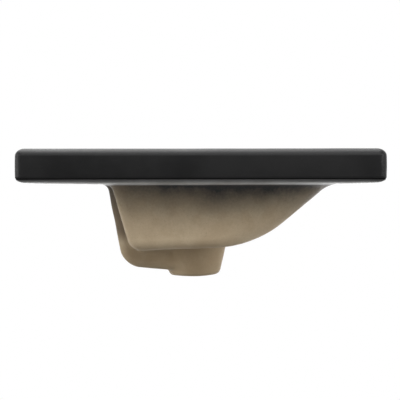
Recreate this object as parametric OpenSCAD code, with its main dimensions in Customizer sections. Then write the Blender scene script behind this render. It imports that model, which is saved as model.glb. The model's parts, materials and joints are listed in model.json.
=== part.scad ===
// Sink basin that rests on a pedestal or a vanity: a hollow ceramic slab with a rectangular bowl in it, an
// overflow duct behind and under the bowl, and a drain boss.
// Millimetres. +X to the user's right, +Y to the back, +Z up.
// The origin is on the drain hole's axis, at the bottom face of the drain boss.
// The clay sections are luted together before firing, so they meet face to face.

/* [Slab] */
// Width of the slab, side to side
slab_w = 610; // [600:5:680]
// Distance from the drain's axis to the slab's back edge
slab_back = 226; // [222:1:240]
// Distance from the drain's axis to the slab's front edge
slab_front = 244; // [240:1:260]
// Height of the slab's edge
slab_t = 43.5; // [42:0.5:48]
// Corner radius of the slab in plan
corner_r = 9; // [8:1:12]
// Rounding of the slab's top edge
top_edge_r = 7; // [4:1:7]
// Rounding of the slab's bottom edge
bottom_edge_r = 6; // [2:1:7]

/* [Bowl] */
// Height of the slab's underside above the bottom of the drain boss
underside_z = 128; // [128:1:132]
// Thickness of the clay
wall = 10; // [9:0.5:11]
// Rounding of the bowl's upper edge
rim_r = 8; // [5:1:9]
// Inside rounding where the walls meet the floor
floor_r = 30; // [26:1:32]
// Outside rounding where the walls meet the floor
heel_r = 12; // [10:1:14]

/* [Fittings] */
// Radius of the drain hole
drain_r = 22.5; // [20:0.5:23]
// Radius of the faucet hole
faucet_r = 17.5; // [15:0.5:18]
// Distance from the faucet hole's axis to the slab's back edge
faucet_setback = 57; // [54:1:60]
// Radius of the overflow hole
overflow_r = 11; // [9:0.5:12]

/* [Hidden] */
$fn = 96;

top_z = underside_z + slab_t;
web_t = wall - 1;
corner_steps = 12; // flat steps in each rounded corner of the bowl
arc_steps = 6; // flat steps in each small rounding
past = 1; // how far a cutter runs past the face it cuts

// Outside of the bowl, as straight lines in the side view, with their values at line_z
line_z = underside_z - 4;
back_at_line = 106.9;
half_at_line = 234;
back_draft = 0.291; // run per unit of height
side_draft = 0.24;
outer_front_r = 46; // front corners in plan, where the bowl leaves the slab
outer_front_fall = 0.07; // how much smaller they get per unit of height, further down
outer_back_r = 14; // back corners in plan
outer_back_fall = 0.6; // how much smaller they get per unit of the heel's run
inner_front_r = 38; // front corners of the rim in plan
inner_front_fall = 0.04;
inner_back_r = 22;

// The front wall outside: a straight slope that runs into one large arc
front_slope = 40; // degrees above the horizontal
front_arc_r = 140;
front_arc_y = -26.7;
front_arc_z = underside_z + 55.3;
floor_z = front_arc_z - front_arc_r; // outside of the floor, 43.3 above the boss's bottom

// The front wall inside: the same slope and arc, one wall further in, steepening towards the rim
wall_across = wall + 1; // the wall, measured level across its draft
inner_arc_r = front_arc_r - wall_across;
front_rise_z = underside_z; // where the straight slope starts to steepen
front_rise_r = 135;

floor_extra = 0.7; // how much thicker the floor is than the walls
inner_floor_z = front_arc_z - inner_arc_r + floor_extra;
floor_fall = 1.5; // how much lower the floor is at the drain than at its edges
drain_floor_z = inner_floor_z - floor_fall;
flat_step = 0.5; // the floor's flat stands this far from the level where its boss starts
heel_sweep = 75; // degrees of the heel's rounding before it meets the flat of the floor
floor_sweep = 80;

// The flat of the floor, around the drain boss
flat_back = 46;
flat_front = -48;
flat_half = 120;
flat_corner_r = 43;
flat_lip = 0.6; // how far the floor's flat stands inside the front wall
flare_r = 6; // hollow rounding between the slab's underside and the bowl

// Drain boss
boss_r = 34.6; // at the bottom, before its rounding
boss_draft = 0.223;
boss_edge_r = 5;
boss_neck_r = 41; // where the boss passes through the bowl's floor
boss_neck_z = floor_z - 0.4;
seat_r = 33; // seat of the waste's flange
seat_depth = 4;

// Overflow duct
duct_w = 64;
duct_wall = 6;
duct_top_z = top_z - 13;
duct_heel_r = 30;
duct_back_low = 102.6; // back of the duct at duct_low_z
duct_low_z = 41.5;
duct_draft = 0.203;
duct_floor_back = 12.4; // underside of the duct at its heel
duct_floor_front = 8.5; // and where it meets the boss
slab_in_z = underside_z + web_t; // above this the duct's back runs parallel to the bowl's

// Overflow port, from the duct into the drain hole
port_z = duct_floor_front + duct_wall;
port_w = 24;
port_h = 14;

// Tap well and kiln vents
tap_y = slab_back - faucet_setback;
well_r = 29;
well_wall = 8;
vent_r = 4;
vent_x = 190;

// Overflow ring, on the inside of the back wall
overflow_z = top_z - 28;
ring_flange_r = 16;
ring_flange_t = 2.4;
ring_bore_r = overflow_r - 1.6;
ring_sleeve_r = overflow_r - 0.1;
ring_sleeve = 8;
ring_lip_r = 1.2;

// A station is a level outline of the bowl: [z, back, front, half width, front corners, back corners].
function fillet(z, level, r) = z >= level + r ? 0 : r - sqrt(r * r - pow(level + r - z, 2));
function flare(z) = let (up = max(0, z - underside_z + flare_r)) flare_r - sqrt(flare_r * flare_r - up * up);

function back_line(z) = back_at_line + (z - line_z) * back_draft;
function half_line(z) = half_at_line + (z - line_z) * side_draft;

// Distance to the front of a wall whose lower part is an arc of radius r about the front arc's centre.
function arc_end_z(r) = front_arc_z - r * cos(front_slope);
function arc_end_y(r) = front_arc_y - r * sin(front_slope);
function front_line(z, r) = z >= arc_end_z(r)
    ? arc_end_y(r) - (z - arc_end_z(r)) / tan(front_slope)
    : front_arc_y - sqrt(max(0, r * r - pow(front_arc_z - z, 2)));

// Above front_rise_z the inner slope is an arc too, tangent to the straight part.
rise_y = front_line(front_rise_z, inner_arc_r) + front_rise_r * sin(front_slope);
rise_z = front_rise_z + front_rise_r * cos(front_slope);
function inner_front(z) = z <= front_rise_z
    ? front_line(z, inner_arc_r)
    : rise_y - sqrt(pow(front_rise_r, 2) - pow(rise_z - z, 2));

function outer_station(z) = let (f = fillet(z, floor_z, heel_r), s = flare(z)) [
    z,
    back_line(z) - f + s,
    min(front_line(z, front_arc_r) - s, flat_front - flat_lip),
    half_line(z) - f + s,
    outer_front_r - (underside_z - z) * outer_front_fall + s,
    outer_back_r - f * outer_back_fall + s
];
function inner_station(z) = let (f = fillet(z, inner_floor_z, floor_r)) [
    z,
    back_line(z) - wall_across - f,
    inner_front(z),
    half_line(z) - wall_across - f,
    inner_front_r - (top_z - z) * inner_front_fall,
    inner_back_r
];
function floor_station(z) = [z, flat_back, flat_front, flat_half, flat_corner_r, flat_corner_r];
function neck_station(z) = let (r = boss_neck_r - 3) [z, r, -r, r, r - 2, r - 2];
function grown(s, by, z) = [z, s[1] + by, s[2] - by, s[3] + by, s[4] + by, s[5] + by];

collar = outer_station(underside_z);
rim = inner_station(top_z - rim_r);
seam = grown(rim, rim_r + 4, top_z); // where the bowl's rim meets the deck
function rim_arc(a) = grown(rim, rim_r * (1 - cos(a)), top_z - rim_r * (1 - sin(a)));
function heel_arc(a) = outer_station(floor_z + heel_r * (1 - sin(a)));
function floor_arc(a) = inner_station(inner_floor_z + floor_r * (1 - sin(a)));

outer_stations = concat(
    [grown(seam, 0, top_z - wall)],
    [grown(collar, 0, underside_z + web_t)],
    [for (i = [0:4]) outer_station(underside_z - flare_r * pow(i / 4, 2))],
    [for (z = [underside_z - 16, arc_end_z(front_arc_r), floor_z + heel_r]) outer_station(z)],
    [for (i = [1:arc_steps]) heel_arc(heel_sweep * i / arc_steps)],
    [floor_station(boss_neck_z + flat_step), neck_station(boss_neck_z)]
);
inner_stations = concat(
    [neck_station(drain_floor_z), floor_station(drain_floor_z + flat_step)],
    [for (i = [arc_steps:-1:1]) floor_arc(floor_sweep * i / arc_steps)],
    [for (z = [inner_floor_z + floor_r, arc_end_z(inner_arc_r), front_rise_z]) inner_station(z)],
    [for (i = [1:3]) inner_station(front_rise_z + (top_z - rim_r - front_rise_z) * i / 3)],
    [for (i = [1:arc_steps]) rim_arc(90 * i / arc_steps)],
    [seam]
);

function arc_points(x, y, r, from, to, steps = 8) = [
    for (i = [0:steps]) let (a = from + (to - from) * i / steps) [x + r * cos(a), y + r * sin(a)]
];

// A level outline as a list of points, counter-clockwise.
function corner(x, y, r, from) = arc_points(x, y, r, from, from + 90, corner_steps);
function outline(s) = let (b = s[1], f = s[2], w = s[3], r = s[4], q = s[5]) concat(
    corner(w - q, b - q, q, 0),
    corner(q - w, b - q, q, 90),
    corner(r - w, f + r, r, 180),
    corner(w - r, f + r, r, 270)
);
function lifted(s) = [for (p = outline(s)) [p[0], p[1], s[0]]];
function plan_box(w, back, front, r) = outline([0, back, front, w / 2, r, r]);

// Skins a closed run of stations, as around a ring: the last one joins the first.
module skin_ring(stations) {
    n = len(outline(stations[0]));
    m = len(stations);
    polyhedron(
        points = [for (s = stations) each lifted(s)],
        faces = [
            for (j = [0:m - 1], i = [0:n - 1])
                let (k = (j + 1) % m, l = (i + 1) % n) each [
                    [j * n + i, k * n + l, k * n + i],
                    [j * n + i, j * n + l, k * n + l]
                ]
        ],
        convexity = 8
    );
}

// Skins a run of stations, top first, and closes both ends.
module skin_solid(stations) {
    n = len(outline(stations[0]));
    m = len(stations);
    polyhedron(
        points = [for (s = stations) each lifted(s)],
        faces = concat(
            [
                for (j = [0:m - 2], i = [0:n - 1])
                    let (l = (i + 1) % n) each [
                        [j * n + i, j * n + l, (j + 1) * n + l],
                        [j * n + i, (j + 1) * n + l, (j + 1) * n + i]
                    ]
            ],
            [[for (i = [n - 1:-1:0]) i], [for (i = [0:n - 1]) (m - 1) * n + i]]
        ),
        convexity = 4
    );
}

module slab_corner() {
    rotate_extrude($fn = 48)
        polygon(concat(
            [[0, 0]],
            arc_points(corner_r - bottom_edge_r, bottom_edge_r, bottom_edge_r, -90, 0),
            arc_points(corner_r - top_edge_r, slab_t - top_edge_r, top_edge_r, 0, 90),
            [[0, slab_t]]
        ));
}

module slab_envelope() {
    side = slab_w / 2 - corner_r;
    hull()
        for (x = [-side, side], y = [corner_r - slab_front, slab_back - corner_r])
            translate([x, y, underside_z]) slab_corner();
}

module cavity_plan() {
    polygon(plan_box(slab_w - 2 * wall, slab_back - wall, wall - slab_front, corner_r / 2));
}

// Top plate and outer skirt of the slab, open underneath
module deck_shell() {
    color("#2a2a2b")
        difference() {
            slab_envelope();
            translate([0, 0, underside_z - past]) linear_extrude(slab_t - wall + past) cavity_plan();
            translate([0, 0, underside_z]) linear_extrude(slab_t + past) polygon(outline(seam));
            translate([0, tap_y, underside_z]) cylinder(r = faucet_r, h = slab_t + past);
        }
}

// Flat web that closes the slab from below
module underside_web() {
    color("#3b3937")
        difference() {
            translate([0, 0, underside_z])
                linear_extrude(web_t)
                    difference() {
                        cavity_plan();
                        polygon(outline(collar));
                        translate([0, tap_y]) circle(r = well_r + well_wall);
                        for (x = [-vent_x, vent_x]) translate([x, tap_y]) circle(r = vent_r);
                    }
            duct_block(duct_w, 0);
        }
}

// Bowl wall, floor and rounded rim
module bowl() {
    color("#9a8a70")
        difference() {
            skin_ring(concat(inner_stations, outer_stations));
            cylinder(r = boss_neck_r, h = underside_z);
            on_back_wall() translate([0, 0, -3 * wall]) cylinder(r = overflow_r, h = 4 * wall);
        }
}

// Stands its children on the inside of the back wall, at the overflow hole, with +Z into the bowl.
module on_back_wall() {
    translate([0, inner_station(overflow_z)[1], overflow_z])
        rotate([90 - atan(back_draft), 0, 0]) children();
}

// Tube under the faucet hole, open below, that leaves room for the tap's nut and hoses
module tap_well() {
    color("#2a2a2b")
        translate([0, tap_y, underside_z])
            difference() {
                cylinder(r = well_r + well_wall, h = slab_t - wall);
                translate([0, 0, -past]) cylinder(r = well_r, h = slab_t);
            }
}

function duct_back(z) = duct_back_low + (z - duct_low_z) * duct_draft;

// Side view of the duct's outside, as [y, z]. The in value draws the passage, that far inside.
function duct_side(in) = let (
    a = atan(duct_draft),
    r = duct_heel_r - in,
    cz = duct_floor_back + duct_heel_r,
    cy = duct_back(cz) - duct_heel_r / cos(a)
) concat(
    [[0, duct_floor_front + in], [boss_r, duct_floor_front + in]],
    arc_points(cy, cz, r, -84, -a),
    [[duct_back(slab_in_z) - in / cos(a), slab_in_z]],
    [[duct_back(slab_in_z) - in / cos(a) + (duct_top_z - in - slab_in_z) * back_draft, duct_top_z - in]],
    [[0, duct_top_z - in]]
);

module duct_block(w, in) {
    rotate([90, 0, 90])
        translate([0, 0, -w / 2]) linear_extrude(w) polygon(duct_side(in));
}

// Hollow channel from the overflow hole, down the back wall and under the floor to the drain boss
module overflow_duct() {
    color("#8a7a60")
        difference() {
            duct_block(duct_w, 0);
            duct_block(duct_w - 2 * duct_wall, duct_wall);
            skin_solid(outer_stations);
            drain_boss_body();
        }
}

module drain_boss_body() {
    rotate_extrude()
        polygon(concat(
            [[0, 0]],
            arc_points(boss_r - boss_edge_r, boss_edge_r, boss_edge_r, -90, -atan(boss_draft)),
            [[boss_r + boss_neck_z * boss_draft, boss_neck_z], [boss_neck_r, boss_neck_z]],
            [[boss_neck_r, drain_floor_z], [0, drain_floor_z]]
        ));
}

// Tapered boss with the drain hole, the seat for the waste's flange and the port of the overflow
module drain_boss() {
    color("#8a7a60")
        difference() {
            drain_boss_body();
            translate([0, 0, -past]) cylinder(r = drain_r, h = drain_floor_z + 2 * past);
            translate([0, 0, drain_floor_z - seat_depth]) cylinder(r = seat_r, h = seat_depth + past);
            translate([-port_w / 2, 0, port_z]) cube([port_w, 2 * boss_r, port_h]);
        }
}

// Trim ring with a sleeve, pushed into the overflow hole
module overflow_ring() {
    color("#c8cacc")
        on_back_wall()
            rotate_extrude()
                polygon(concat(
                    [[ring_bore_r, -ring_sleeve], [ring_sleeve_r, -ring_sleeve]],
                    [[ring_sleeve_r, 0], [ring_flange_r, 0]],
                    arc_points(ring_flange_r - ring_flange_t, 0, ring_flange_t, 15, 90, 6),
                    arc_points(ring_bore_r + ring_lip_r, ring_flange_t - ring_lip_r, ring_lip_r, 90, 180, 4)
                ));
}

deck_shell();
underside_web();
bowl();
tap_well();
overflow_duct();
drain_boss();
overflow_ring();
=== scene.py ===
import json
import math

import bpy
import numpy as np
from mathutils import Euler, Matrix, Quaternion, Vector

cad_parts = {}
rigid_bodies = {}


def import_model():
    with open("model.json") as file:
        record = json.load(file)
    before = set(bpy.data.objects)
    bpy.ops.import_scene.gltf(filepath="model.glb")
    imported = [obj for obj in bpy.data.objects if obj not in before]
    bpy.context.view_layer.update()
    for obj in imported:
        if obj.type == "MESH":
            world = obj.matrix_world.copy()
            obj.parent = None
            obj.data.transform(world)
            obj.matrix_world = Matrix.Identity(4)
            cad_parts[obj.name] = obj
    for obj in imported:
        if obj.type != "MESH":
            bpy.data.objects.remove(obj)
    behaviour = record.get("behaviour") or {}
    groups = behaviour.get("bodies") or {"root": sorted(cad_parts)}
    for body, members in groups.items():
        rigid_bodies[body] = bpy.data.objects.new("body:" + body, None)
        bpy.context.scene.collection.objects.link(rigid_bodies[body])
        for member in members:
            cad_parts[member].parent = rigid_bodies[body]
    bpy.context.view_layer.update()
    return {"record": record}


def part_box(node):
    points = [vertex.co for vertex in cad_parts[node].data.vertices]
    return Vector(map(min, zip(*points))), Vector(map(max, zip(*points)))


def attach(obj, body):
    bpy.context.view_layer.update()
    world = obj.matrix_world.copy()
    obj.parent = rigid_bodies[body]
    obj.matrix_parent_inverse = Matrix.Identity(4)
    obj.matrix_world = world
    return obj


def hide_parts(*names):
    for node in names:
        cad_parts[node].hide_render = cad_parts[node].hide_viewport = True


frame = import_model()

# The basin's visible clay body is one skin over a field of signed distances. Each section of the casting is a
# field that is negative inside it. Fields join with rounded corners and hollow fillets, as glazed clay does.
# Metres throughout, in the frame's own axes: +X right, +Y to the wall, +Z up.

MM = 0.001


# ---------------------------------------------------------------- sizes, from the frame
def mount(name):
    """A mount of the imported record, as its position and its dimensions."""
    found = next(m for m in frame["record"]["mounts"] if m["name"] == name)
    return Vector(found["pos_m"]), found["dims"]


deck_low, deck_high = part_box("deck_shell")
_, duct_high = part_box("overflow_duct")
well_low, well_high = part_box("tap_well")
_, boss_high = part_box("drain_boss")
_, drain_dims = mount("drain_hole")
tap_at, tap_dims = mount("faucet_hole")

top_z = deck_high[2]
underside_z = deck_low[2]
slab_half_w = deck_high[0]
slab_mid_y = (deck_low[1] + deck_high[1]) / 2
slab_half_d = (deck_high[1] - deck_low[1]) / 2
drain_r = drain_dims["r_mm"] * MM
tap_r = tap_dims["r_mm"] * MM
well_wall = 8 * MM
well_r = (well_high[0] - well_low[0]) / 2 - well_wall
duct_half_w = duct_high[0]

# Slab
corner_r = 9 * MM
top_edge_r = 9.5 * MM
top_edge_depth = 1.3
bottom_edge_r = 6 * MM
bottom_edge_depth = 2.3
top_sag = 0.2 * MM
underside_sag = 1.9 * MM
edge_bulge = 0.5 * MM
glaze_line_z = underside_z + 4.7 * MM
glaze_line_r = 0.9 * MM
glaze_line_edge_r = 0.5 * MM

# Bowl: straight drafted sides and back, and a front that runs from the floor through an arc into a slope
wall = 11 * MM
line_z = underside_z - 4 * MM
back_at_line = 106.9 * MM
half_at_line = 234 * MM
back_draft = 0.291
side_draft = 0.24
front_slope = math.radians(40)
arc_r = 140 * MM
arc_y = -26.7 * MM
arc_z = underside_z + 55.3 * MM
inner_arc_r = arc_r - wall
inner_lift = 0.7 * MM
rise_r = 135 * MM
floor_fall, floor_fall_r = 1.5 * MM, 60 * MM
floor_z = boss_high[2]
outer_back_r, outer_front_r = 13 * MM, 46 * MM
inner_back_r, inner_front_r = 22 * MM, 38 * MM
outer_heel_r = 13.5 * MM
inner_heel_r = 30 * MM
heel_to_corner = 90 * MM
floor_tilt = 0.04
slope_belly, slope_belly_z, slope_belly_reach = 0.8 * MM, 100 * MM, 14 * MM
rim_r = 8 * MM
slab_fillet = 9 * MM
tuck = 20 * MM  # how far the bowl and the duct reach up into the slab

# Overflow duct, drain boss and the holes
duct_back_at = 103.4 * MM
duct_back_z = 41.5 * MM
duct_draft = 0.195
duct_bend_up = 9 * MM  # above the slab's underside its back takes the bowl's draft
duct_floor_at_boss = 8.1 * MM
duct_floor_rise = 0.094
duct_heel_r = 21 * MM
duct_edge_r = 12 * MM
duct_wall = 6 * MM
duct_fillet = 10 * MM
boss_r = 34.1 * MM
boss_draft = 0.223
boss_edge_r = 5.5 * MM
boss_foot_rise, boss_foot_reach = 1.7 * MM, 27 * MM
boss_fillet = 3.5 * MM
seat_r = 33 * MM
seat_depth = 4 * MM
seat_floor_r, seat_edge_r = 2 * MM, 2.5 * MM
drain_edge_r = 1.5 * MM
tap_edge_r = 2 * MM
well_top_r = 3 * MM
vent_r = 4 * MM
vent_x = 190 * MM
vent_depth = 14 * MM
vent_edge_r = 1 * MM
overflow_r = 11 * MM
overflow_z = top_z - 28 * MM
port_half_w = 12 * MM
port_low, port_high = 14.5 * MM, 28.5 * MM
port_front, port_back = 15 * MM, 52 * MM
passage_front = 30 * MM
passage_up = 24 * MM
passage_corner_r, passage_edge_r = 5 * MM, 1.2 * MM
hole_in, hole_out = 12 * MM, 14 * MM
overflow_lean = math.atan(back_draft)
overflow_mouth_y = back_at_line + (overflow_z - line_z) * back_draft - wall

# Unevenness of the deck and of the clay below it, and the height over which one becomes the other
deck_wave, clay_wave, wave_fade = 0.03 * MM, 0.13 * MM, 30 * MM


# ---------------------------------------------------------------- fields
def both(a, b, r):
    """What lies in both solids, with the edge between them rounded to radius r."""
    return np.minimum(np.maximum(a, b), -r) + np.hypot(np.maximum(a + r, 0), np.maximum(b + r, 0))


def either(a, b, r):
    """What lies in either solid, with a hollow fillet of radius r between them."""
    return -both(-a, -b, r)


def without(a, b, r):
    """The first solid less the second, with the new edge rounded to radius r."""
    return both(a, -b, r)


def smooth_step(t):
    t = np.clip(t, 0, 1)
    return t * t * (3 - 2 * t)


def slope_field(y, z, radius, lift):
    """Distance below the bowl's side view: a level floor, then an arc, then a straight slope to the front."""
    forward, down = arc_y - y, arc_z + lift - z
    angle = np.arctan2(forward, down)
    arc = np.hypot(forward, down) - radius
    slope = forward * math.sin(front_slope) + down * math.cos(front_slope) - radius
    return np.where(angle <= 0, down - radius, np.where(angle < front_slope, arc, slope))


def slope_y(z, radius, lift):
    """Where the straight slope stands at height z."""
    down = arc_z + lift - z
    return arc_y - (radius - down * math.cos(front_slope)) / math.sin(front_slope)


def walls_field(x, y, z, inset, radius):
    """Distance outside the bowl's two sides and its back, a wall thickness in from them if inset is given."""
    side = (np.abs(x) - (half_at_line + (z - line_z) * side_draft - inset)) / math.hypot(1, side_draft)
    back = (y - (back_at_line + (z - line_z) * back_draft - inset)) / math.hypot(1, back_draft)
    return both(side, back, radius)


def blend_r(y, heel, corner):
    """The rounding grows from the floor's heel to the corner of the front slope."""
    return heel + (corner - heel) * smooth_step((arc_y - y) / heel_to_corner)


def bowl_outside(x, y, z):
    below = slope_field(y, z, arc_r, 0)
    # The floor falls a little to the back, and the slope is slightly full in the middle
    below = below - floor_tilt * np.maximum(y - arc_y, 0)
    belly = slope_belly * np.exp(-(((z - slope_belly_z) / slope_belly_reach) ** 2))
    below = below - belly * (y < arc_y)
    return both(walls_field(x, y, z, 0, outer_back_r), below, blend_r(y, outer_heel_r, outer_front_r))


def bowl_inside(x, y, z):
    below = slope_field(y, z, inner_arc_r, inner_lift)
    # Towards the rim the front wall steepens along one more arc
    centre_y = slope_y(underside_z, inner_arc_r, inner_lift) + rise_r * math.sin(front_slope)
    centre_z = underside_z + rise_r * math.cos(front_slope)
    forward, down = centre_y - y, centre_z - z
    steep = np.hypot(forward, down) - rise_r
    below = np.where(np.arctan2(forward, down) > front_slope, steep, below)
    below = below - floor_fall * np.exp(-(x**2 + y**2) / floor_fall_r**2)
    return both(walls_field(x, y, z, wall, inner_back_r), below, blend_r(y, inner_heel_r, inner_front_r))


def slab(x, y, z):
    along = (y - slab_mid_y) / slab_half_d
    middle = 1 - np.minimum(along**2, 1)
    belly = edge_bulge * (1 - ((z - (underside_z + top_z) / 2) / (top_z - underside_z) * 2) ** 2)
    plan = both(np.abs(x) - slab_half_w - belly, np.abs(y - slab_mid_y) - slab_half_d - belly, corner_r)
    # Both edges are rounded further in than up or down
    lid = both(plan / top_edge_depth, z - top_z + top_sag * middle, top_edge_r)
    foot = both(plan / bottom_edge_depth, underside_z - underside_sag * middle - z, bottom_edge_r)
    body = np.maximum(lid, foot)
    # A fine groove runs round the side where the glaze stops
    return without(body, np.hypot(plan, z - glaze_line_z) - glaze_line_r, glaze_line_edge_r)


def duct_side(y, z):
    """Distance outside the duct's side view: its back, its underside and the heel between them."""
    back_y = duct_back_at + (z - duct_back_z) * duct_draft
    back_y = back_y + np.maximum(z - underside_z - duct_bend_up, 0) * (back_draft - duct_draft)
    back = (y - back_y) / math.hypot(1, duct_draft)
    floor = (duct_floor_at_boss + (y - boss_r) * duct_floor_rise - z) / math.hypot(1, duct_floor_rise)
    return both(back, floor, duct_heel_r)


def duct(x, y, z):
    body = both(np.abs(x) - duct_half_w, duct_side(y, z), duct_edge_r)
    return np.maximum(np.maximum(body, -y), z - underside_z - tuck)


def boss_cone(x, y, z):
    """Distance outside the boss's tapered side."""
    return (np.hypot(x, y) - boss_r - z * boss_draft) / math.hypot(1, boss_draft)


def boss(x, y, z):
    # The foot is rubbed down by hand: it rises a little towards the front
    foot = -z + boss_foot_rise * (np.minimum(y, 0) / boss_foot_reach) ** 2
    return np.maximum(both(boss_cone(x, y, z), foot, boss_edge_r), z - floor_z)


def waviness(x, y, z):
    """Slight unevenness of hand-finished clay: under 0.1 mm on the deck, and more below it."""
    wave = np.sin(x * 61 + 2 * np.sin(y * 43))
    wave = wave + np.sin(y * 74 + 1.7 * np.sin(z * 90 + x * 31))
    wave = wave + np.sin(z * 118 + x * 23)
    return wave * (deck_wave + clay_wave * smooth_step((underside_z - z) / wave_fade))


def overflow_axis(y, z):
    """Distances along the overflow hole's axis, into the bowl, and across it."""
    dy, dz = y - overflow_mouth_y, z - overflow_z
    cos, sin = math.cos(overflow_lean), math.sin(overflow_lean)
    return -dy * cos + dz * sin, dy * sin + dz * cos


def passage(x, y, z):
    """The overflow's hollow: inside the duct's wall, outside the bowl and the boss, and through the port."""
    hollow = both(np.abs(x) - duct_half_w + duct_wall, duct_side(y, z) + duct_wall, passage_corner_r)
    hollow = np.maximum(hollow, -bowl_outside(x, y, z))
    hollow = np.maximum(hollow, -boss_cone(x, y, z))
    hollow = np.maximum(hollow, np.maximum(passage_front - y, z - underside_z - passage_up))
    port = np.maximum(np.abs(x) - port_half_w, np.maximum(port_low - z, z - port_high))
    port = np.maximum(port, np.maximum(port_front - y, y - port_back))
    along, across = overflow_axis(y, z)
    hole = np.maximum(np.hypot(x, across) - overflow_r, np.maximum(along - hole_in, -hole_out - along))
    return np.minimum(np.minimum(hollow, port), hole)


def basin(x, y, z):
    """The whole clay body."""
    outside = np.maximum(bowl_outside(x, y, z), z - underside_z - tuck)
    outside = either(outside, duct(x, y, z), duct_fillet)
    outside = either(outside, boss(x, y, z), boss_fillet)
    body = either(slab(x, y, z), outside, slab_fillet) + waviness(x, y, z)
    body = without(body, bowl_inside(x, y, z), rim_r)
    from_drain = np.hypot(x, y)
    seat = both(from_drain - seat_r, floor_z - seat_depth - z, seat_floor_r)
    body = without(body, seat, seat_edge_r)
    body = without(body, from_drain - drain_r, drain_edge_r)
    from_tap = np.hypot(x, y - tap_at[1])
    body = without(body, from_tap - tap_r, tap_edge_r)
    well = both(from_tap - well_r, z - well_high[2], well_top_r)
    body = without(body, well, tap_edge_r)
    from_vent = np.hypot(np.abs(x) - vent_x, y - tap_at[1])
    vent = np.maximum(from_vent - vent_r, z - underside_z - vent_depth)
    body = without(body, vent, vent_edge_r)
    return without(body, passage(x, y, z), passage_edge_r)


# ---------------------------------------------------------------- skinning a field
def graded(*stops):
    """Grid lines from (start, step) pairs and a last stop: each stretch has its own step."""
    lines = []
    for (start, step), (end, _) in zip(stops, stops[1:]):
        count = max(1, round((end - start) / step))
        lines.extend(start + (end - start) * i / count for i in range(count))
    return np.array(lines + [stops[-1][0]])


def mirrored(lines):
    return np.concatenate([-lines[::-1], lines[1:]])


def surface_net(field, xs, ys, zs):
    """A quad mesh of the field's zero level: a vertex in each crossed cell, a quad round each edge."""
    grid = np.meshgrid(xs, ys, zs, indexing="ij")
    value = field(*grid)
    cells = tuple(n - 1 for n in value.shape)
    total, count = np.zeros(cells + (3,)), np.zeros(cells)
    quads = []
    index = np.arange(np.prod(cells)).reshape(cells)
    for axis in range(3):
        step = tuple(int(a == axis) for a in range(3))
        first = value[tuple(slice(0, n - s) for n, s in zip(value.shape, step))]
        second = value[tuple(slice(s, n) for n, s in zip(value.shape, step))]
        at = np.argwhere((first < 0) != (second < 0))
        i, j, k = at.T
        a, b = first[i, j, k], second[i, j, k]
        t = a / (a - b)
        point = np.stack([g[i, j, k] for g in grid], 1)
        beyond = np.stack([g[i + step[0], j + step[1], k + step[2]] for g in grid], 1)
        point[:, axis] += t * (beyond - point)[:, axis]
        u, v = [n for n in range(3) if n != axis]
        corners = []
        for du, dv in ((1, 1), (0, 1), (0, 0), (1, 0)):
            cell = at.copy()
            cell[:, u] -= du
            cell[:, v] -= dv
            where = tuple(cell.T)
            np.add.at(total, where, point)
            np.add.at(count, where, 1)
            corners.append(index[where])
        quad = np.stack(corners, 1)
        turned = (a < 0) == (axis == 1)
        quad[turned] = quad[turned][:, ::-1]
        quads.append(quad)
    used = count.ravel() > 0
    points = total.reshape(-1, 3)[used] / count.ravel()[used][:, None]
    renumber = np.cumsum(used) - 1
    return points, renumber[np.concatenate(quads)]


def gradient(field, points, reach=0.02 * MM):
    out = np.empty_like(points)
    for axis in range(3):
        shift = np.zeros(3)
        shift[axis] = reach
        out[:, axis] = (field(*(points + shift).T) - field(*(points - shift).T)) / (2 * reach)
    return out


def settle(field, points, rounds=4):
    """Moves each vertex onto the field's zero level, along its gradient."""
    flattest, furthest = 0.2, 2.5 * MM
    start = points.copy()
    for _ in range(rounds):
        slope = gradient(field, points)
        size = np.maximum((slope**2).sum(1), flattest)
        points = points - field(*points.T)[:, None] * slope / size[:, None]
        moved = points - start
        length = np.linalg.norm(moved, axis=1, keepdims=True)
        points = start + moved * np.minimum(1, furthest / np.maximum(length, 1e-9))
    return points


def mesh_object(name, points, faces, normals=None):
    mesh = bpy.data.meshes.new(name)
    mesh.vertices.add(len(points))
    mesh.vertices.foreach_set("co", points.ravel())
    mesh.loops.add(faces.size)
    mesh.loops.foreach_set("vertex_index", faces.ravel())
    mesh.polygons.add(len(faces))
    mesh.polygons.foreach_set("loop_start", np.arange(len(faces)) * faces.shape[1])
    mesh.update(calc_edges=True)
    mesh.polygons.foreach_set("use_smooth", np.ones(len(faces), dtype=bool))
    if normals is not None:
        mesh.normals_split_custom_set_from_vertices(normals)
    made = bpy.data.objects.new(name, mesh)
    bpy.context.scene.collection.objects.link(made)
    return made


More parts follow.
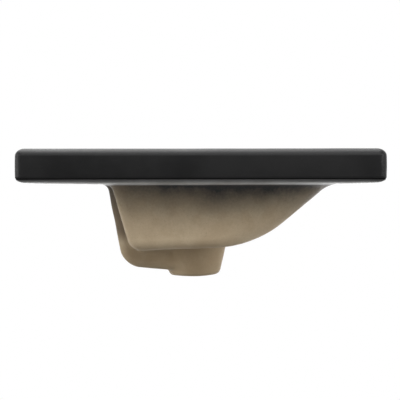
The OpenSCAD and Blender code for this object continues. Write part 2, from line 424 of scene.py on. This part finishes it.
# ---------------------------------------------------------------- materials
class Nodes:
    """A short way to write a material's nodes."""

    def __init__(self, name):
        self.material = bpy.data.materials.new(name)
        self.material.use_nodes = True
        self.tree = self.material.node_tree
        self.shader = self.tree.nodes["Principled BSDF"]
        self.place = self.tree.nodes.new("ShaderNodeTexCoord").outputs["Object"]

    def link(self, value, socket):
        if isinstance(value, (int, float, tuple)):
            socket.default_value = value
        else:
            self.tree.links.new(value, socket)

    def noise(self, scale, detail=3.0, stretch=None, roughness=0.5, offset=(0, 0, 0)):
        node = self.tree.nodes.new("ShaderNodeTexNoise")
        node.inputs["Scale"].default_value = scale
        node.inputs["Detail"].default_value = detail
        node.inputs["Roughness"].default_value = roughness
        mapping = self.tree.nodes.new("ShaderNodeMapping")
        mapping.inputs["Scale"].default_value = stretch or (1, 1, 1)
        mapping.inputs["Location"].default_value = offset
        self.link(self.place, mapping.inputs["Vector"])
        self.link(mapping.outputs[0], node.inputs["Vector"])
        return node.outputs["Fac"]

    def math(self, kind, a, b=0.0, clamp=False):
        node = self.tree.nodes.new("ShaderNodeMath")
        node.operation = kind
        node.use_clamp = clamp
        self.link(a, node.inputs[0])
        self.link(b, node.inputs[1])
        return node.outputs[0]

    def ramp(self, value, low, high, out_low=0.0, out_high=1.0, smooth=True):
        node = self.tree.nodes.new("ShaderNodeMapRange")
        node.interpolation_type = "SMOOTHSTEP" if smooth else "LINEAR"
        numbers = {"From Min": low, "From Max": high, "To Min": out_low, "To Max": out_high}
        for socket, number in numbers.items():
            node.inputs[socket].default_value = number
        self.link(value, node.inputs["Value"])
        return node.outputs[0]

    def mix(self, fac, a, b):
        node = self.tree.nodes.new("ShaderNodeMix")
        node.data_type = "RGBA"
        self.link(fac, node.inputs[0])
        self.link(a if not isinstance(a, tuple) else a + (1.0,), node.inputs[6])
        self.link(b if not isinstance(b, tuple) else b + (1.0,), node.inputs[7])
        return node.outputs[2]

    def axis(self, name):
        node = self.tree.nodes.new("ShaderNodeSeparateXYZ")
        self.link(self.place, node.inputs[0])
        return node.outputs[name]

    def bump(self, height, distance, strength=1.0, under=None):
        node = self.tree.nodes.new("ShaderNodeBump")
        node.inputs["Distance"].default_value = distance
        node.inputs["Strength"].default_value = strength
        self.link(height, node.inputs["Height"])
        if under is not None:
            self.link(under, node.inputs["Normal"])
        return node.outputs[0]

    def finish(self, colour, roughness, normal, **constants):
        self.link(colour, self.shader.inputs["Base Color"])
        self.link(roughness, self.shader.inputs["Roughness"])
        self.link(normal, self.shader.inputs["Normal"])
        for socket, number in constants.items():
            self.shader.inputs[socket.replace("_", " ")].default_value = number
        return self.material


def glaze_material():
    """Matte black glaze: near black, satin, with a fine orange peel and a few paler specks."""
    m = Nodes("matte_black_glaze")
    cloud = m.noise(14, 3)
    fine = m.noise(420, 2)
    colour = m.mix(m.ramp(cloud, 0.35, 0.68), (0.0065, 0.0065, 0.0068), (0.0105, 0.0104, 0.0106))
    speck = m.ramp(m.noise(900, 1), 0.70, 0.76)
    colour = m.mix(m.math("MULTIPLY", speck, 0.35), colour, (0.05, 0.05, 0.05))
    rough = m.math("ADD", m.ramp(cloud, 0.3, 0.7, 0.43, 0.50), m.ramp(fine, 0.3, 0.7, -0.03, 0.03))
    normal = m.bump(fine, 0.05 * MM, 0.5, m.bump(m.noise(70, 2), 0.12 * MM, 0.4))
    return m.finish(colour, rough, normal, Specular_IOR_Level=0.3)


def clay_material():
    """Bare fired clay under a soft spray of black glaze that thins downwards. Painted shade darkens the
    lowest clay, the duct and the groove, the back corners carry a painted highlight, and the slab's foot is
    pale, a painted reflection.
    """
    spray_end, spray_full, spray_fade = 50 * MM, 123 * MM, 1.9
    blotch_drop, drift_drop = 8 * MM, 7 * MM
    corner_from, corner_to, corner_drop = 84 * MM, 106 * MM, 10 * MM
    brown_full, brown_end, brown_drop = 38 * MM, 54 * MM, 3 * MM
    duct_side_from, duct_side_to = duct_half_w + 20 * MM, duct_half_w + 50 * MM
    duct_front, duct_back = 30 * MM, 60 * MM
    duct_pale_z, duct_dark_z = 40 * MM, 64 * MM
    foot_edge_z = underside_z - 1.2 * MM
    foot_from, foot_to = underside_z - 3.4 * MM, underside_z - 2.6 * MM
    groove_from, groove_to = glaze_line_z - 1.1 * MM, glaze_line_z - 0.5 * MM
    m = Nodes("oversprayed_clay")
    height = m.axis("Z")
    blotch = m.noise(19, 4, roughness=0.6)
    drift = m.noise(7, 2, stretch=(1, 1, 0.6), offset=(3.1, 1.7, 0.4))
    grain = m.noise(330, 3, roughness=0.65)
    sand = m.noise(900, 2)
    # Patches and slow drifts make the spray's height uneven along the bowl
    patches = m.ramp(blotch, 0.25, 0.75, -blotch_drop, blotch_drop, False)
    drifts = m.ramp(drift, 0.3, 0.7, -drift_drop, drift_drop, False)
    uneven = m.math("ADD", patches, drifts)
    # Painted highlight: the back corners get less of the spray, so the corner that turns towards the back is
    # painted lighter
    corner_highlight_lift = m.ramp(m.axis("Y"), corner_from, corner_to, 0.0, corner_drop)
    level = m.math("SUBTRACT", m.math("ADD", height, uneven), corner_highlight_lift)
    cover = m.math("POWER", m.ramp(level, spray_end, spray_full, 0.0, 1.0, False), spray_fade)
    # The droplets are too fine to see singly, so the fade is smooth, with a little grain in it
    soft = m.math("ADD", cover, m.math("MULTIPLY", m.math("SUBTRACT", grain, 0.5), 0.22))
    spray = m.ramp(soft, 0.0, 1.0, 0.0, 1.0, False)
    clay = m.mix(m.ramp(blotch, 0.3, 0.7), (0.555, 0.435, 0.285), (0.62, 0.50, 0.335))
    clay = m.mix(m.ramp(m.noise(45, 3, offset=(1, 2, 3)), 0.42, 0.62, 0.0, 0.5), clay, (0.50, 0.38, 0.24))
    clay = m.mix(m.math("MULTIPLY", m.ramp(sand, 0.60, 0.72), 0.35), clay, (0.26, 0.18, 0.10))
    # Painted shade: the lowest clay, shaded under the bowl, is painted darker and browner
    ragged = m.math("ADD", height, m.ramp(blotch, 0.3, 0.7, -brown_drop, brown_drop))
    painted_low_shade = m.ramp(ragged, brown_full, brown_end, 0.45, 0.0)
    clay = m.mix(painted_low_shade, clay, (0.33, 0.235, 0.13))
    # Painted shade: the duct's sides, shaded behind and under the bowl, are painted darker and browner, most
    # towards the top
    painted_duct_shade = m.ramp(m.math("ABSOLUTE", m.axis("X")), duct_side_from, duct_side_to, 1.0, 0.0)
    painted_duct_shade = m.math("MULTIPLY", painted_duct_shade, m.ramp(m.axis("Y"), duct_front, duct_back))
    painted_duct_shade = m.math("MULTIPLY", painted_duct_shade, m.ramp(height, duct_pale_z, duct_dark_z, 0.15, 0.9))
    clay = m.mix(painted_duct_shade, clay, (0.15, 0.105, 0.062))
    colour = m.mix(spray, clay, (0.027, 0.0265, 0.026))
    # The slab's foot, below the groove, is painted pale, palest at its very edge: a painted reflection of
    # bright light from below on its rounding
    thin = m.math("POWER", m.ramp(height, glaze_line_z, foot_edge_z, 0.0, 1.0, False), 2.0)
    painted_foot_reflection = m.mix(m.ramp(blotch, 0.40, 0.66), (0.62, 0.62, 0.61), (0.44, 0.43, 0.41))
    foot = m.mix(thin, (0.02, 0.02, 0.02), painted_foot_reflection)
    colour = m.mix(m.ramp(height, foot_from, foot_to), colour, foot)
    # Painted shade: the groove is painted near black, with little specular reflection
    groove = m.ramp(height, groove_from, groove_to)
    colour = m.mix(groove, colour, (0.003, 0.003, 0.003))
    m.link(m.ramp(groove, 0.0, 1.0, 0.5, 0.05), m.shader.inputs["Specular IOR Level"])
    rough = m.math("ADD", m.ramp(spray, 0.0, 1.0, 0.72, 0.50), m.ramp(grain, 0.3, 0.7, -0.04, 0.04))
    normal = m.bump(sand, 0.10 * MM, 0.6, m.bump(m.noise(120, 3), 0.22 * MM, 0.5))
    return m.finish(colour, rough, normal)


def chrome_material():
    """Bright plated trim with faint smears and fine polishing lines round it."""
    m = Nodes("plated_trim")
    smear = m.noise(160, 3)
    colour = m.mix(m.ramp(smear, 0.35, 0.7), (0.74, 0.75, 0.77), (0.62, 0.63, 0.65))
    rough = m.ramp(smear, 0.3, 0.75, 0.06, 0.16)
    normal = m.bump(m.noise(1500, 1), 0.01 * MM, 0.3)
    return m.finish(colour, rough, normal, Metallic=1.0)


# ---------------------------------------------------------------- pieces
def clay_body():
    """The whole casting, in glaze above and inside, and in oversprayed clay below and outside."""
    rim_x = half_at_line + (top_z - line_z) * side_draft
    spare = 3 * MM  # room past the basin on each side
    xs = mirrored(graded(
        (0, 2.4 * MM),
        (44 * MM, 5.5 * MM),
        (rim_x - 40 * MM, 3.8 * MM),
        (rim_x - 14 * MM, 2.4 * MM),
        (rim_x + 6 * MM, 7 * MM),
        (slab_half_w - 12 * MM, 1.7 * MM),
        (slab_half_w + spare, 0),
    ))
    front, back = deck_low[1], deck_high[1]
    ys = graded(
        (front - spare, 1.7 * MM),
        (front + 12 * MM, 5 * MM),
        (front + 40 * MM, 3 * MM),
        (front + 62 * MM, 4.8 * MM),
        (-42 * MM, 2.6 * MM),
        (42 * MM, 3.4 * MM),
        (82 * MM, 2.5 * MM),
        (128 * MM, 3.2 * MM),
        (tap_at[1] - 24 * MM, 2.4 * MM),
        (tap_at[1] + 24 * MM, 4.5 * MM),
        (back - 12 * MM, 1.7 * MM),
        (back + spare, 0),
    )
    zs = graded(
        (-spare, 2.4 * MM),
        (60 * MM, 4.0 * MM),
        (underside_z - 14 * MM, 2.4 * MM),
        (underside_z - 4 * MM, 1.4 * MM),
        (glaze_line_z - 1.6 * MM, 0.55 * MM),
        (glaze_line_z + 1.6 * MM, 3.8 * MM),
        (top_z - 12 * MM, 1.5 * MM),
        (top_z + spare, 0),
    )
    points, faces = surface_net(basin, xs, ys, zs)
    points = settle(basin, points)
    normals = gradient(basin, points, 0.05 * MM)
    normals /= np.maximum(np.linalg.norm(normals, axis=1, keepdims=True), 1e-6)
    made = mesh_object("basin_body", points, faces, normals)
    # Glazed above the groove, and over the bowl's inside as far down as the drain's seat
    x, y, z = points[faces].mean(1).T
    to_inside = bowl_inside(x, y, z)
    inside = np.abs(to_inside) < np.abs(bowl_outside(x, y, z))
    inside &= (to_inside < 9 * MM) & (z > floor_z - 7 * MM)
    glazed = (z > glaze_line_z + 0.6 * MM) | inside
    made.data.materials.append(glaze_material())
    made.data.materials.append(clay_material())
    made.data.polygons.foreach_set("material_index", np.where(glazed, 0, 1))
    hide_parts("deck_shell", "underside_web", "bowl", "tap_well", "overflow_duct", "drain_boss")
    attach(made, "root")
    print("body:", len(points), "vertices,", len(faces), "quads")


def overflow_trim():
    """The trim ring: a domed flange, a rolled inner lip and a thin sleeve, turned on the hole's axis."""
    flange_r, flange_t, flange_edge = 16 * MM, 2.4 * MM, 0.5 * MM
    bore_r = overflow_r - 1.6 * MM
    sleeve_r, sleeve = overflow_r - 0.2 * MM, 8 * MM
    outline = [
        (bore_r, -sleeve),
        (sleeve_r, -sleeve),
        (sleeve_r, -0.2 * MM),
        (flange_r - 0.4 * MM, 0),
        (flange_r, 0.3 * MM),
    ]
    steps, turns = 9, 72
    middle, half = (flange_r + bore_r) / 2, (flange_r - bore_r) / 2
    for i in range(steps + 1):
        a = math.radians(10 + 160 * i / steps)
        outline.append((middle + half * math.cos(a), flange_edge + (flange_t - flange_edge) * math.sin(a)))
    outline.append((bore_r, 0.2 * MM))
    cos, sin = math.cos(overflow_lean), math.sin(overflow_lean)
    points = []
    for j in range(turns):
        b = 2 * math.pi * j / turns
        for r, along in outline:
            across = r * math.sin(b)
            points.append((
                r * math.cos(b),
                overflow_mouth_y - along * cos + across * sin,
                overflow_z + along * sin + across * cos,
            ))
    n = len(outline)
    faces = [
        (j * n + i, j * n + (i + 1) % n, (j + 1) % turns * n + (i + 1) % n, (j + 1) % turns * n + i)
        for j in range(turns) for i in range(n)
    ]
    made = mesh_object("overflow_trim_ring", np.array(points), np.array(faces))
    made.data.set_sharp_from_angle(angle=math.radians(50))
    made.data.materials.append(chrome_material())
    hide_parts("overflow_ring")
    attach(made, "root")


# ---------------------------------------------------------------- stage, lights and camera
def studio():
    scene = bpy.context.scene
    scene.view_settings.view_transform = "Standard"
    world = bpy.data.worlds.new("studio")
    scene.world = world
    world.use_nodes = True
    tree = world.node_tree
    tree.nodes.clear()
    seen = tree.nodes.new("ShaderNodeBackground")
    seen.inputs["Color"].default_value = (1, 1, 1, 1)
    seen.inputs["Strength"].default_value = 1.0
    # The camera sees plain white. What lights the basin is a bright sweep behind it and a dim room in front
    fill = tree.nodes.new("ShaderNodeBackground")
    fill.inputs["Color"].default_value = (1, 1, 1, 1)
    place = tree.nodes.new("ShaderNodeTexCoord")
    parts = tree.nodes.new("ShaderNodeSeparateXYZ")
    sweep = tree.nodes.new("ShaderNodeMapRange")
    sweep.interpolation_type = "SMOOTHSTEP"
    dim, bright = 0.08, 1.7
    numbers = {"From Min": -0.05, "From Max": 0.65, "To Min": dim, "To Max": bright}
    for socket, number in numbers.items():
        sweep.inputs[socket].default_value = number
    tree.links.new(place.outputs["Generated"], parts.inputs[0])
    tree.links.new(parts.outputs["X"], sweep.inputs["Value"])
    tree.links.new(sweep.outputs[0], fill.inputs["Strength"])
    rays = tree.nodes.new("ShaderNodeLightPath")
    choose = tree.nodes.new("ShaderNodeMixShader")
    out = tree.nodes.new("ShaderNodeOutputWorld")
    tree.links.new(rays.outputs["Is Camera Ray"], choose.inputs[0])
    tree.links.new(fill.outputs[0], choose.inputs[1])
    tree.links.new(seen.outputs[0], choose.inputs[2])
    tree.links.new(choose.outputs[0], out.inputs["Surface"])

    # Square lamps that all face the middle of the slab: where each stands from there, its side and its watts
    middle = Vector((0, slab_mid_y, underside_z))
    lamps = {
        "top_softbox": ((0.3, 0.30, 1.6), 1.6, 32.0),
        "front_softbox": ((-1.9, -0.1, 1.3), 1.1, 14.0),
        "edge_softbox": ((-0.7, 0.1, 1.9), 1.2, 13.0),
        "left_softbox": ((-1.6, 1.7, 0.9), 1.2, 14.0),
        "right_softbox": ((-1.6, -1.8, 0.7), 1.2, 26.0),
        "back_strip": ((-0.5, 2.2, 0.25), 0.9, 15.0),
        "front_strip": ((-0.2, -2.2, -0.3), 0.9, 4.0),
        "sweep_glow": ((1.1, 0.0, -0.62), 1.8, 22.0),
    }
    for name, (offset, size, power) in lamps.items():
        data = bpy.data.lights.new(name, "AREA")
        data.shape = "SQUARE"
        data.size = size
        data.energy = power
        lamp = bpy.data.objects.new(name, data)
        lamp.location = middle + Vector(offset)
        lamp.rotation_mode = "QUATERNION"
        lamp.rotation_quaternion = (middle - lamp.location).to_track_quat("-Z", "Y")
        scene.collection.objects.link(lamp)


def floor():
    """A pale floor as far below the basin as a sink's deck is above one. From below it is clear."""
    deck_height = 0.85
    level = top_z - deck_height
    radius, steps = 5.4, 96
    angles = [2 * math.pi * i / steps for i in range(steps)]
    ring = [(radius * math.cos(a), radius * math.sin(a), level) for a in angles]
    mesh = bpy.data.meshes.new("studio_floor")
    mesh.from_pydata(ring, [], [tuple(range(steps))])
    made = bpy.data.objects.new("studio_floor", mesh)
    bpy.context.scene.collection.objects.link(made)
    material = bpy.data.materials.new("pale_floor")
    material.use_nodes = True
    tree = material.node_tree
    shader = tree.nodes["Principled BSDF"]
    shader.inputs["Base Color"].default_value = (0.82, 0.82, 0.81, 1)
    shader.inputs["Roughness"].default_value = 0.9
    # Pale to the camera only. To all other rays it is a dark grey cloth, so that little light comes back up
    cloth = tree.nodes.new("ShaderNodeBsdfDiffuse")
    cloth.inputs["Color"].default_value = (0.22, 0.22, 0.22, 1)
    rays = tree.nodes.new("ShaderNodeLightPath")
    pick = tree.nodes.new("ShaderNodeMixShader")
    tree.links.new(rays.outputs["Is Camera Ray"], pick.inputs[0])
    tree.links.new(cloth.outputs[0], pick.inputs[1])
    tree.links.new(shader.outputs[0], pick.inputs[2])
    clear = tree.nodes.new("ShaderNodeBsdfTransparent")
    side = tree.nodes.new("ShaderNodeNewGeometry")
    choose = tree.nodes.new("ShaderNodeMixShader")
    tree.links.new(side.outputs["Backfacing"], choose.inputs[0])
    tree.links.new(pick.outputs[0], choose.inputs[1])
    tree.links.new(clear.outputs[0], choose.inputs[2])
    tree.links.new(choose.outputs[0], tree.nodes["Material Output"].inputs["Surface"])
    mesh.materials.append(material)


def camera():
    """A long lens just below the slab's underside, looking along +X at its side and very slightly down."""
    distance, aside, drop = 3.0, 1.1 * MM, 6.6 * MM
    data = bpy.data.cameras.new("camera")
    data.sensor_width = 36
    data.lens = 214
    data.clip_start, data.clip_end = 0.1, 100
    made = bpy.data.objects.new("camera", data)
    made.location = (-slab_half_w - distance, slab_mid_y + aside, underside_z - drop)
    tilt, roll = math.radians(0.292), math.radians(0.07)
    made.rotation_mode = "QUATERNION"
    level = Euler((math.radians(90) - tilt, 0, math.radians(-90))).to_quaternion()
    made.rotation_quaternion = level @ Quaternion((0, 0, 1), -roll)
    bpy.context.scene.collection.objects.link(made)
    bpy.context.scene.camera = made


camera()
studio()
floor()
clay_body()
overflow_trim()
